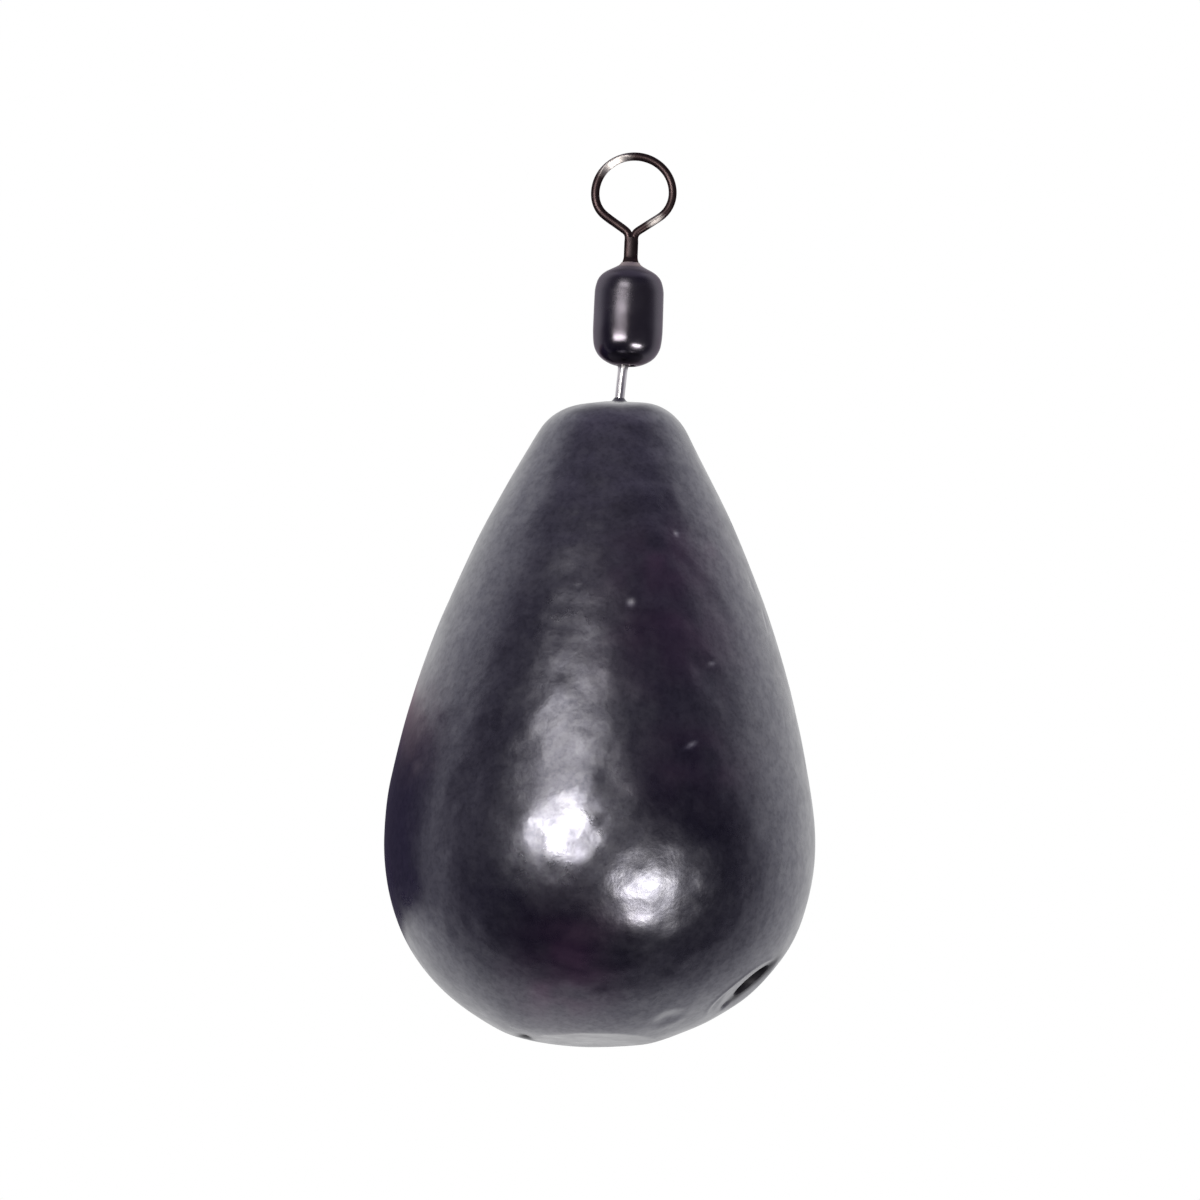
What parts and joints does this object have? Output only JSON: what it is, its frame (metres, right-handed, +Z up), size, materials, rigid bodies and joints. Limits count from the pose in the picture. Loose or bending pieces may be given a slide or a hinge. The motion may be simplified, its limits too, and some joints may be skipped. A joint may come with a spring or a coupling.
{
  "type": "fishing sinker",
  "caption": "Pear-shaped cast lead sinker with a barrel swivel cast into its top and a round wire eye for the line.",
  "frame": {"origin": "centre of the upper eye's loop, where the line is tied", "axes": "+Z up along the swivel's axis; the upper loop lies in the XZ plane and its hole faces -Y, the pictured front"},
  "size_m": [0.0221, 0.022, 0.0458],
  "materials": {
    "lead": "dark oxidised cast lead, satin, with small dents",
    "barrel": "gloss black nickel on brass",
    "wire": "dark polished wire"
  },
  "bodies": {
    "upper_eye": {"upper_eye": "wire"},
    "barrel": {"swivel_barrel": "barrel"},
    "lead": {"lead_body": "lead", "lower_eye": "wire"}
  },
  "joints": [
    {"name": "barrel_spin", "type": "hinge", "parent": "upper_eye", "child": "barrel", "pos_m": [0, 0, -0.0038], "axis": [0, 0, 1], "continuous": true},
    {"name": "lead_spin", "type": "hinge", "parent": "barrel", "child": "lead", "pos_m": [0, 0, -0.0086], "axis": [0, 0, 1], "continuous": true}
  ]
}
